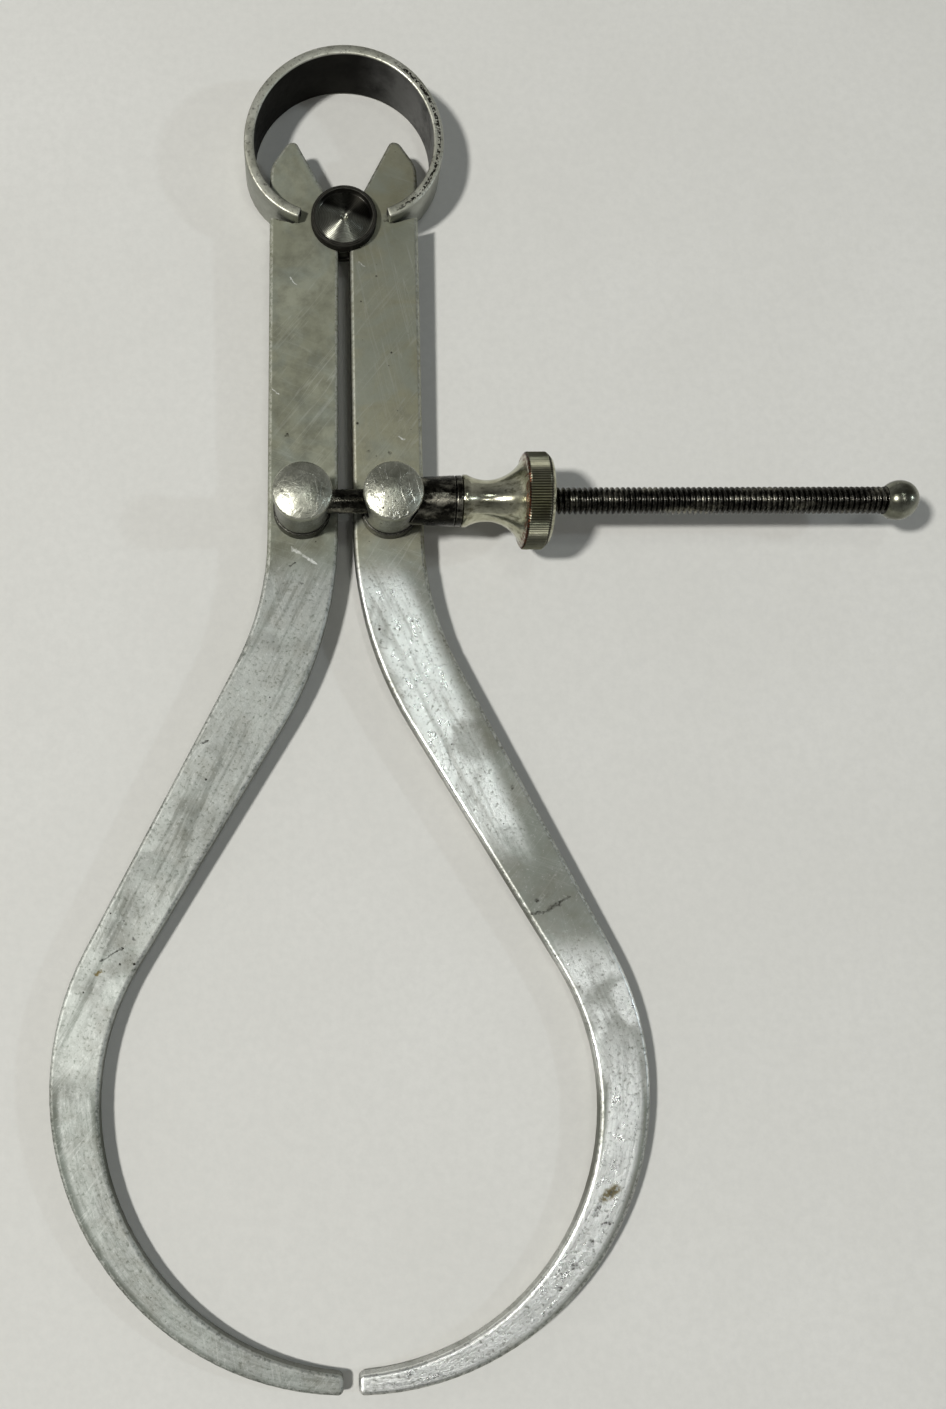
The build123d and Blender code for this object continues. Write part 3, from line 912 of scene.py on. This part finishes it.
def make_spring_steel():
    material, tree, shader, place = new_material("spring_strip_steel", metallic=0.0)
    shader.inputs["Specular IOR Level"].default_value = 0.02
    across, y, z = split(tree, place)
    x = number(tree, "ABSOLUTE", across)
    cloudy = noise(tree, place, 170.0, 5.0, 0.6)
    grain = noise(tree, place, 1500.0, 3.0, 0.6)
    speckle = noise(tree, place, 2600.0, 3.0, 0.65)
    pits = use_group(tree, pits_group, place, Scale=1500.0, Amount=0.4)["Pits"]
    edge = use_group(tree, edges_group, place, Radius=0.25 * mm, Grain=1300.0)["Edge"]

    # How far a place lies outside the strip's middle, and whether it is on a rim
    def beyond(centre_x, centre_y, radius):
        reach = distance(tree, minus(tree, x, centre_x), minus(tree, y, centre_y))
        return minus(tree, reach, radius)

    choice = node(tree, "ShaderNodeMix")
    feed(tree, number(tree, "LESS_THAN", y, ring_end_top), choice.inputs[0])
    feed(tree, beyond(0.0, ring_y, ring_radius), choice.inputs[2])
    feed(tree, beyond(end_centre.x, end_centre.y, ring_end_radius), choice.inputs[3])
    depth = choice.outputs[0]
    outside = spread(tree, depth, -0.1 * mm, 0.1 * mm)
    foot = end_centre.y - ring_end_radius
    slope = (strip_width - strip_end_width) / 2 / (ring_y + ring_radius - foot)
    half_width = plus(tree, times(tree, minus(tree, y, foot), slope), strip_end_width / 2)
    from_middle = number(tree, "ABSOLUTE", minus(tree, z, leg_middle))
    rim = spread(tree, minus(tree, from_middle, half_width), -0.24 * mm, -0.08 * mm)

    # Towards the right the inside is lighter and more metallic
    to_right = spread(tree, across, 2 * mm, 10 * mm)
    inner = two_tone(tree, cloudy, 0.3, 0.7, (0.008, 0.008, 0.007), (0.022, 0.021, 0.018))
    lighter_to_right = times(tree, to_right, spread(tree, cloudy, 0.3, 0.6))
    inner = coat(tree, inner, (lighter_to_right, (0.14, 0.14, 0.135)))
    outer = two_tone(tree, cloudy, 0.3, 0.7, (0.27, 0.275, 0.24), (0.40, 0.41, 0.37))
    ground = two_tone(tree, cloudy, 0.35, 0.65, (0.42, 0.42, 0.34), (0.66, 0.66, 0.58))
    ground = coat(tree, ground, (spread(tree, speckle, 0.56, 0.66, 0.0, 0.75), (0.14, 0.135, 0.11)))
    oxide = times(tree, minus(tree, 1.0, outside), minus(tree, 1.0, rim))
    bare = minus(tree, 1.0, times(tree, oxide, spread(tree, to_right, 0.0, 1.0, 1.0, 0.55)))
    feed(tree, bare, shader.inputs["Metallic"])

    # A dark broken line along the right side's rim, where the ground face has rusted
    line = times(
        tree,
        window(tree, depth, -0.1 * mm, 0.25 * mm, 0.1 * mm),
        rim,
        spread(tree, across, 6.5 * mm, 8.5 * mm),
        spread(tree, speckle, 0.44, 0.5),
    )
    outer_edge = times(tree, edge, spread(tree, depth, -0.8 * mm, -0.4 * mm, 0.1, 0.6))
    base = blend_colours(tree, rim, blend_colours(tree, outside, inner, outer), ground)
    base = coat(
        tree, base,
        (outer_edge, (0.90, 0.90, 0.84)), (line, (0.03, 0.028, 0.022)), (pits, (0.03, 0.027, 0.022)),
    )
    feed(tree, base, shader.inputs["Base Color"])
    feed(tree, spread(tree, grain, 0.3, 0.7, 0.38, 0.56), shader.inputs["Roughness"])
    height = minus(tree, times(tree, speckle, 0.8), most(tree, pits, line))
    add_bump(tree, shader, height, 0.5, 0.05 * mm)
    return material


dress(spring, make_spring_steel())


# ---- Blackened steel: screw, collar and washer, rubbed bright in places ----

ring_pitch = 0.14 * mm


def make_dark_steel(name, wear, rings):
    material, tree, shader, place = new_material(name)
    cloudy = noise(tree, stretched(tree, place, 0, (0.45, 1.0, 1.0)), 480.0, 5.0, 0.65)
    grain = noise(tree, place, 2400.0, 3.0, 0.6)
    edge = use_group(tree, edges_group, place, Radius=0.18 * mm, Grain=1800.0)
    base = two_tone(tree, grain, 0.3, 0.7, (0.008, 0.0075, 0.006), (0.03, 0.028, 0.022))
    base = coat(
        tree, base,
        (times(tree, spread(tree, cloudy, 0.52, 0.7), wear), (0.55, 0.53, 0.43)),
        (times(tree, edge["Edge"], wear), (0.50, 0.48, 0.42)),
    )
    feed(tree, base, shader.inputs["Base Color"])
    feed(tree, spread(tree, grain, 0.3, 0.7, 0.20, 0.38), shader.inputs["Roughness"])
    height = grain
    if rings:
        lines = number(tree, "SINE", times(tree, split(tree, place)[0], 2 * math.pi / ring_pitch))
        height = plus(tree, height, times(tree, lines, 0.4))
    add_bump(tree, shader, height, 0.25, 0.04 * mm, edge["Rounded"])
    return material


dress(screw, make_dark_steel("screw_blackened", 0.5, False))
collar_steel = make_dark_steel("collar_blackened", 0.6, True)
dress("thrust_collar", collar_steel)
dress("thrust_washer", collar_steel)


# ---- Fulcrum stud: dark, with turned rings and a painted highlight on its dished face ----

dish_rim = 3.95 * mm
dish_ring_pitch = 0.21 * mm


def make_fulcrum_steel():
    material, tree, shader, place = new_material("fulcrum_turned", metallic=0.0)
    shader.inputs["Specular IOR Level"].default_value = 0.03
    x, y = split(tree, place)[:2]
    away = distance(tree, x, y)
    cloudy = noise(tree, place, 420.0, 4.0, 0.6)
    wobble = times(tree, noise(tree, place, 900.0, 2.0), 5.0)
    edge = use_group(tree, edges_group, place, Radius=0.15 * mm, Grain=1500.0)
    rings = times(tree, away, 2 * math.pi / dish_ring_pitch)
    rings = number(tree, "SINE", plus(tree, rings, wobble))
    dish = spread(tree, away, dish_rim, dish_rim - 0.2 * mm)
    feed(tree, dish, shader.inputs["Metallic"])

    # Painted highlight: the dish's lower half alone is painted bright, where the light falls on it
    upward = plus(tree, times(tree, x, 0.35), y)
    painted_dish_highlight = times(
        tree, dish,
        spread(tree, upward, 0.2 * mm, 1.4 * mm, 1.0, 0.0, "SMOOTHSTEP"),
        spread(tree, cloudy, 0.25, 0.7, 0.5, 1.0),
    )
    base = two_tone(tree, cloudy, 0.35, 0.65, (0.004, 0.004, 0.003), (0.016, 0.015, 0.012))
    base = coat(
        tree, base,
        (painted_dish_highlight, (0.46, 0.465, 0.39)),
        (spread(tree, rings, -1.0, 1.0, 0.0, 0.6), (0.05, 0.048, 0.04)),
        (times(tree, edge["Edge"], 0.15), (0.5, 0.49, 0.45)),
    )
    feed(tree, base, shader.inputs["Base Color"])
    feed(tree, spread(tree, cloudy, 0.3, 0.7, 0.25, 0.42), shader.inputs["Roughness"])
    turn_marks(tree, shader, "Z", 0.85)
    add_bump(tree, shader, rings, 0.5, 0.02 * mm, edge["Rounded"])
    return material


dress("fulcrum_stud", make_fulcrum_steel())


# ---- Post steel: satin turned heads with small dents, painted shade at the foot ----

def make_post_steel():
    material, tree, shader, place = new_material("post_satin")
    height_up = split(tree, place)[2]
    cloudy = noise(tree, place, 260.0, 5.0, 0.6)
    grain = noise(tree, place, 1900.0, 3.0, 0.6)
    dents = noise(tree, place, 620.0, 3.0, 0.55, 0.6)
    scratches = use_group(tree, scratches_group, place, Scale=900.0, Amount=1.0)["Lines"]
    pits = use_group(tree, pits_group, place, Scale=1300.0, Amount=0.25)["Pits"]
    edge = use_group(tree, edges_group, place, Radius=0.2 * mm, Grain=1500.0)
    head = spread(tree, height_up, post_top - 2.8 * mm, post_top - 1.7 * mm)
    # Painted shade: each post is darkened at its foot just above the leg's face, standing in for the contact
    # shadow there
    foot = spread(tree, height_up, leg_front + 1.7 * mm, leg_front + 2.1 * mm, 0.9, 0.0)
    base = blend_colours(
        tree, head,
        two_tone(tree, cloudy, 0.3, 0.7, (0.20, 0.205, 0.185), (0.34, 0.345, 0.32)),
        two_tone(tree, cloudy, 0.35, 0.65, (0.27, 0.275, 0.22), (0.52, 0.525, 0.44)),
    )
    base = coat(
        tree, base,
        (times(tree, scratches, 0.6), (0.86, 0.87, 0.83)),
        (times(tree, edge["Edge"], times(tree, head, 0.6)), (0.78, 0.78, 0.74)),
        (pits, (0.07, 0.06, 0.05)),
        (foot, (0.04, 0.038, 0.03)),
    )
    feed(tree, base, shader.inputs["Base Color"])
    feed(tree, spread(tree, grain, 0.3, 0.7, 0.30, 0.46), shader.inputs["Roughness"])
    height = minus(tree, times(tree, grain, 0.8), pits)
    height = minus(tree, plus(tree, height, times(tree, dents, 2.4)), scratches)
    add_bump(tree, shader, height, 0.55, 0.07 * mm, edge["Rounded"])
    return material


post_steel = make_post_steel()
for name in ("left_post", "right_post", "left_post_washer", "right_post_washer"):
    dress(name, post_steel)


# ---- Nickel plate on the nut, yellowed, with rust at the knurl's root ----

def make_nickel():
    material, tree, shader, place = new_material("nut_nickel")
    x, y, z = split(tree, place)
    cloudy = noise(tree, place, 380.0, 5.0, 0.65)
    grain = noise(tree, stretched(tree, place, 0, (0.3, 1.0, 1.0)), 1900.0, 4.0, 0.65)
    away = distance(tree, minus(tree, y, screw_y), minus(tree, z, screw_z))
    root = nut_rim - knurl_depth
    groove = spread(tree, away, root, root + 0.12 * mm, 1.0, 0.0)
    on_rim = spread(tree, away, 5.8 * mm, 5.9 * mm)
    rust = times(
        tree,
        spread(tree, x, nut_flange - 0.3 * mm, nut_flange - 0.1 * mm),
        spread(tree, x, nut_flange + 0.15 * mm, nut_flange + 0.35 * mm, 1.0, 0.0),
        spread(tree, grain, 0.42, 0.56),
    )
    base = two_tone(tree, cloudy, 0.35, 0.65, (0.33, 0.325, 0.23), (0.66, 0.65, 0.51))
    base = coat(
        tree, base,
        (spread(tree, grain, 0.52, 0.64, 0.0, 0.7), (0.11, 0.10, 0.05)),
        (times(tree, on_rim, 0.75), (0.22, 0.22, 0.155)),
        (times(tree, groove, on_rim), (0.03, 0.026, 0.018)),
        (times(tree, rust, 0.8), (0.17, 0.06, 0.03)),
    )
    feed(tree, base, shader.inputs["Base Color"])
    rough = spread(tree, grain, 0.3, 0.7, 0.16, 0.28)
    rough = number(tree, "ADD", rough, times(tree, most(tree, rust, on_rim), 0.14), clamp=True)
    feed(tree, rough, shader.inputs["Roughness"])
    turn_marks(tree, shader, "X", 0.8)
    add_bump(tree, shader, cloudy, 0.2, 0.05 * mm)
    return material


dress(nut, make_nickel())


# ---- Bright steel ball, clouded and finely scratched ----

def make_bright():
    material, tree, shader, place = new_material("ball_polished")
    cloudy = noise(tree, place, 300.0, 4.0, 0.6)
    scratches = use_group(tree, scratches_group, place, Scale=1200.0, Amount=0.7)["Lines"]
    base = two_tone(tree, cloudy, 0.35, 0.65, (0.08, 0.08, 0.055), (0.32, 0.325, 0.265))
    base = coat(tree, base, (times(tree, scratches, 0.3), (0.80, 0.82, 0.80)))
    feed(tree, base, shader.inputs["Base Color"])
    feed(tree, spread(tree, cloudy, 0.3, 0.7, 0.20, 0.34), shader.inputs["Roughness"])
    add_bump(tree, shader, plus(tree, cloudy, times(tree, scratches, 0.2)), 0.3, 0.04 * mm)
    return material


dress("stop_ball", make_bright())


# ---- Stage: a plain pale floor under the spring's rim and the tips, soft light and the camera ----

# The floor's height is given at the top of the ring. Towards the tips it rises by the rise over the reach.
ring_top_y = 24.0 * mm
floor_height = -2.06 * mm
floor_rise = 3.0 * mm
floor_reach = 177.4 * mm

deselect()
bpy.ops.mesh.primitive_plane_add(
    size=4,
    location=(0, ring_top_y, floor_height),
    rotation=(-math.atan2(floor_rise, floor_reach), 0, 0),
)
floor = name_piece("floor")
paper, tree, shader, place = new_material("pale_paper", metallic=0.0)
shader.inputs["Roughness"].default_value = 0.9
shader.inputs["Specular IOR Level"].default_value = 0.1
shade = noise(tree, place, 18.0, 4.0, 0.6)
fibres = noise(tree, place, 900.0, 4.0, 0.7)
pulp = two_tone(tree, shade, 0.3, 0.7, (0.625, 0.622, 0.585), (0.665, 0.664, 0.630))
pulp = coat(tree, pulp, (spread(tree, fibres, 0.35, 0.65, 0.0, 0.35), (0.56, 0.56, 0.53)))
feed(tree, pulp, shader.inputs["Base Color"])
add_bump(tree, shader, fibres, 0.3, 0.05 * mm)
floor.data.materials.append(paper)

# A room that is pale at eye level and dark overhead
world = bpy.data.worlds.new("soft_room")
bpy.context.scene.world = world
world.use_nodes = True
sky = world.node_tree
facing = split(sky, node(sky, "ShaderNodeTexCoord").outputs["Generated"])
room = two_tone(sky, facing[2], 0.35, 0.95, (0.26, 0.26, 0.255), (0.035, 0.035, 0.035))
background = sky.nodes["Background"]
feed(sky, room, background.inputs["Color"])
background.inputs["Strength"].default_value = 1.0

aim = Vector((0, -65 * mm, 0))


def add_lamp(name, direction, away, size, power, colour):
    """A soft round lamp that looks at the middle of the tool from a direction."""
    place = aim + Vector(direction).normalized() * away
    light = bpy.data.lights.new(name, "AREA")
    light.shape = "DISK"
    light.size = size
    light.energy = power
    light.color = colour
    lamp = bpy.data.objects.new(name, light)
    bpy.context.scene.collection.objects.link(lamp)
    lamp.location = place
    lamp.rotation_euler = (aim - place).to_track_quat("-Z", "Y").to_euler()


add_lamp("key", (-0.515, -0.09, 0.85), 1.17, 0.11, 11.5, (1.0, 0.985, 0.96))
add_lamp("side", (0.84, 0.02, 0.50), 1.2, 0.06, 1.6, (0.80, 0.91, 1.0))
add_lamp("above", (0.115, 0.20, 0.97), 1.2, 0.12, 0.65, (0.94, 1.0, 0.97))
add_lamp("below", (0.22, -0.19, 0.96), 1.2, 0.12, 0.65, (1.0, 1.0, 0.98))

# The camera fitted to the photo, whose picture centre lies off the camera's axis. In pixels.
photo_width, photo_height = 946, 1409
axis_x, axis_y = 301.6, 793.4
focal_length = 1255

camera_data = bpy.data.cameras.new("photo_view")
camera = bpy.data.objects.new("photo_view", camera_data)
bpy.context.scene.collection.objects.link(camera)
camera_data.sensor_fit = "AUTO"
camera_data.sensor_width = 36
camera_data.lens = focal_length / photo_height * camera_data.sensor_width
camera_data.shift_x = (photo_width / 2 - axis_x) / photo_height
camera_data.shift_y = (axis_y - photo_height / 2) / photo_height
camera_data.clip_start = 0.01
camera_data.clip_end = 20
camera.location = (-6.0 * mm, -98.4 * mm, 164.65 * mm)
camera.rotation_euler = (math.radians(6.86), 0, math.radians(-0.13))
bpy.context.scene.camera = camera

bpy.context.scene.view_settings.view_transform = "Standard"
